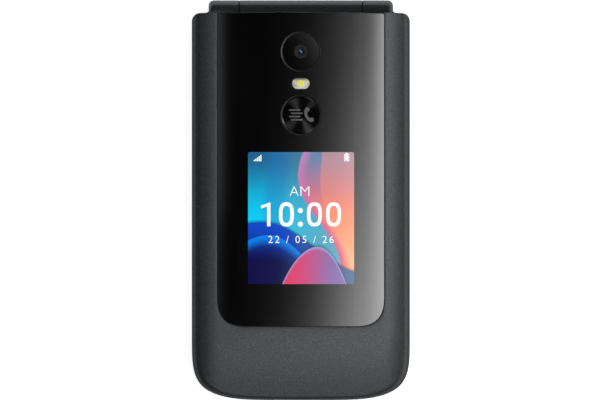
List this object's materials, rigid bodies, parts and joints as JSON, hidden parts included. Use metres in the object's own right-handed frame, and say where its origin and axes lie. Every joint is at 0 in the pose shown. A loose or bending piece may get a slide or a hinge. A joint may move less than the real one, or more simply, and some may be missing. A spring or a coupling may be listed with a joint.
{
  "type": "flip phone",
  "caption": "Closed clamshell mobile phone: gloss outer panel with a screen, round call button and camera, a hinged lid, sprung keypad, lift-off battery cover and sliding SIM card.",
  "frame": {"origin": "on the resting plane of the back, under the middle of the closed phone's box", "axes": "+X across the phone to the volume rocker's side, +Y along it from the chin to the hinge barrel, +Z out through the lid"},
  "size_m": [0.057, 0.1048, 0.0192],
  "materials": {
    "body_plastic": "matt dark grey with a fine sparkle",
    "rocker_plastic": "matt dark grey",
    "cover_plastic": "matt dark grey",
    "panel": "polished black with a clear screen window",
    "window": "polished, black border",
    "display": "screen glass",
    "button_black": "spun black",
    "key_plastic": "satin",
    "steel": "plain",
    "frame_metal": "stamped sheet",
    "board": "soldermask",
    "battery_skin": "wrapped cell",
    "gold": "plated",
    "socket_plastic": "moulded",
    "carrier_plastic": "moulded",
    "film": "thin film with domes",
    "rubber": "soft",
    "lens": "translucent cream",
    "led": "phosphor",
    "camera_glass": "clear cover, black inside"
  },
  "bodies": {
    "base": {"rear_housing": "body_plastic", "keypad_housing": "body_plastic", "main_board": "board", "shield_cans": "steel", "dome_sheet": "film", "battery_contacts": "gold", "sim_holder": "steel", "usb_socket": "steel", "headphone_socket": "socket_plastic", "microphone": "steel", "loudspeaker": "socket_plastic", "vibration_motor": "steel", "antenna_carrier": "carrier_plastic", "base_screws": "steel", "hinge_shaft": "steel", "hinge_hollow_pin": "socket_plastic"},
    "sim_card": {"sim_card": "gold"},
    "battery_cover": {"battery_cover": "cover_plastic"},
    "battery": {"battery": "battery_skin"},
    "volume_rocker": {"volume_rocker": "rocker_plastic"},
    "nav_ring": {"nav_ring": "key_plastic"},
    "ok_key": {"ok_key": "key_plastic"},
    "key_1": {"key_1": "key_plastic"},
    "key_2": {"key_2": "key_plastic"},
    "key_3": {"key_3": "key_plastic"},
    "key_4": {"key_4": "key_plastic"},
    "key_5": {"key_5": "key_plastic"},
    "key_6": {"key_6": "key_plastic"},
    "key_7": {"key_7": "key_plastic"},
    "key_8": {"key_8": "key_plastic"},
    "key_9": {"key_9": "key_plastic"},
    "key_star": {"key_star": "key_plastic"},
    "key_0": {"key_0": "key_plastic"},
    "key_hash": {"key_hash": "key_plastic"},
    "send_key": {"send_key": "key_plastic"},
    "clear_key": {"clear_key": "key_plastic"},
    "end_key": {"end_key": "key_plastic"},
    "soft_key_left": {"soft_key_left": "key_plastic"},
    "soft_key_right": {"soft_key_right": "key_plastic"},
    "function_key_left": {"function_key_left": "key_plastic"},
    "function_key_right": {"function_key_right": "key_plastic"},
    "lid": {"lid_inner_housing": "body_plastic", "lid_front_housing": "body_plastic", "outer_window": "panel", "outer_display": "display", "inner_window": "window", "main_display": "display", "lid_frame": "frame_metal", "lid_board": "board", "call_switch": "steel", "camera_module": "socket_plastic", "camera_cover": "camera_glass", "camera_ring": "steel", "flash_lens": "lens", "flash_led": "led", "earpiece": "socket_plastic", "lid_screws": "steel", "lid_bumpers": "rubber", "hinge_spring_can": "steel"},
    "call_button": {"call_button": "button_black"}
  },
  "joints": [
    {"name": "lid_hinge", "type": "hinge", "parent": "base", "child": "lid", "pos_m": [0, 0.0484, 0.0112], "axis": [-1, 0, 0], "range_deg": [0, 160]},
    {"name": "call_button_press", "type": "slide", "parent": "lid", "child": "call_button", "axis": [0, 0, -1], "range_m": [0, 0.00025], "stiffness_N_per_m": 1000},
    {"name": "battery_cover_lift", "type": "slide", "parent": "base", "child": "battery_cover", "axis": [0, 0, -1], "range_m": [0, 0.03]},
    {"name": "battery_lift", "type": "slide", "parent": "base", "child": "battery", "axis": [0, 0, -1], "range_m": [0, 0.015]},
    {"name": "sim_card_slide", "type": "slide", "parent": "base", "child": "sim_card", "axis": [0, -1, 0], "range_m": [0, 0.013]},
    {"name": "volume_rocker_tilt", "type": "hinge", "parent": "base", "child": "volume_rocker", "pos_m": [0.0273, 0.0171, 0.0087], "axis": [0, 0, 1], "range_deg": [-1.2, 1.2], "stiffness_Nm_per_rad": 0.2},
    {"name": "nav_ring_tilt", "type": "hinge", "parent": "base", "child": "nav_ring", "pos_m": [0, 0.0275, 0.0093], "axis": [1, 0, 0], "range_deg": [-1.2, 1.2], "stiffness_Nm_per_rad": 0.2},
    {"name": "ok_key_press", "type": "slide", "parent": "base", "child": "ok_key", "axis": [0, 0, -1], "range_m": [0, 0.00025], "stiffness_N_per_m": 1000},
    {"name": "key_1_press", "type": "slide", "parent": "base", "child": "key_1", "axis": [0, 0, -1], "range_m": [0, 0.00025], "stiffness_N_per_m": 1000},
    {"name": "key_2_press", "type": "slide", "parent": "base", "child": "key_2", "axis": [0, 0, -1], "range_m": [0, 0.00025], "stiffness_N_per_m": 1000},
    {"name": "key_3_press", "type": "slide", "parent": "base", "child": "key_3", "axis": [0, 0, -1], "range_m": [0, 0.00025], "stiffness_N_per_m": 1000},
    {"name": "key_4_press", "type": "slide", "parent": "base", "child": "key_4", "axis": [0, 0, -1], "range_m": [0, 0.00025], "stiffness_N_per_m": 1000},
    {"name": "key_5_press", "type": "slide", "parent": "base", "child": "key_5", "axis": [0, 0, -1], "range_m": [0, 0.00025], "stiffness_N_per_m": 1000},
    {"name": "key_6_press", "type": "slide", "parent": "base", "child": "key_6", "axis": [0, 0, -1], "range_m": [0, 0.00025], "stiffness_N_per_m": 1000},
    {"name": "key_7_press", "type": "slide", "parent": "base", "child": "key_7", "axis": [0, 0, -1], "range_m": [0, 0.00025], "stiffness_N_per_m": 1000},
    {"name": "key_8_press", "type": "slide", "parent": "base", "child": "key_8", "axis": [0, 0, -1], "range_m": [0, 0.00025], "stiffness_N_per_m": 1000},
    {"name": "key_9_press", "type": "slide", "parent": "base", "child": "key_9", "axis": [0, 0, -1], "range_m": [0, 0.00025], "stiffness_N_per_m": 1000},
    {"name": "key_star_press", "type": "slide", "parent": "base", "child": "key_star", "axis": [0, 0, -1], "range_m": [0, 0.00025], "stiffness_N_per_m": 1000},
    {"name": "key_0_press", "type": "slide", "parent": "base", "child": "key_0", "axis": [0, 0, -1], "range_m": [0, 0.00025], "stiffness_N_per_m": 1000},
    {"name": "key_hash_press", "type": "slide", "parent": "base", "child": "key_hash", "axis": [0, 0, -1], "range_m": [0, 0.00025], "stiffness_N_per_m": 1000},
    {"name": "send_key_press", "type": "slide", "parent": "base", "child": "send_key", "axis": [0, 0, -1], "range_m": [0, 0.00025], "stiffness_N_per_m": 1000},
    {"name": "clear_key_press", "type": "slide", "parent": "base", "child": "clear_key", "axis": [0, 0, -1], "range_m": [0, 0.00025], "stiffness_N_per_m": 1000},
    {"name": "end_key_press", "type": "slide", "parent": "base", "child": "end_key", "axis": [0, 0, -1], "range_m": [0, 0.00025], "stiffness_N_per_m": 1000},
    {"name": "soft_key_left_press", "type": "slide", "parent": "base", "child": "soft_key_left", "axis": [0, 0, -1], "range_m": [0, 0.00025], "stiffness_N_per_m": 1000},
    {"name": "soft_key_right_press", "type": "slide", "parent": "base", "child": "soft_key_right", "axis": [0, 0, -1], "range_m": [0, 0.00025], "stiffness_N_per_m": 1000},
    {"name": "function_key_left_press", "type": "slide", "parent": "base", "child": "function_key_left", "axis": [0, 0, -1], "range_m": [0, 0.00025], "stiffness_N_per_m": 1000},
    {"name": "function_key_right_press", "type": "slide", "parent": "base", "child": "function_key_right", "axis": [0, 0, -1], "range_m": [0, 0.00025], "stiffness_N_per_m": 1000}
  ],
  "couplings": [
    {"joint": "battery_lift", "follows": "battery_cover_lift", "ratio": 0.5}
  ]
}
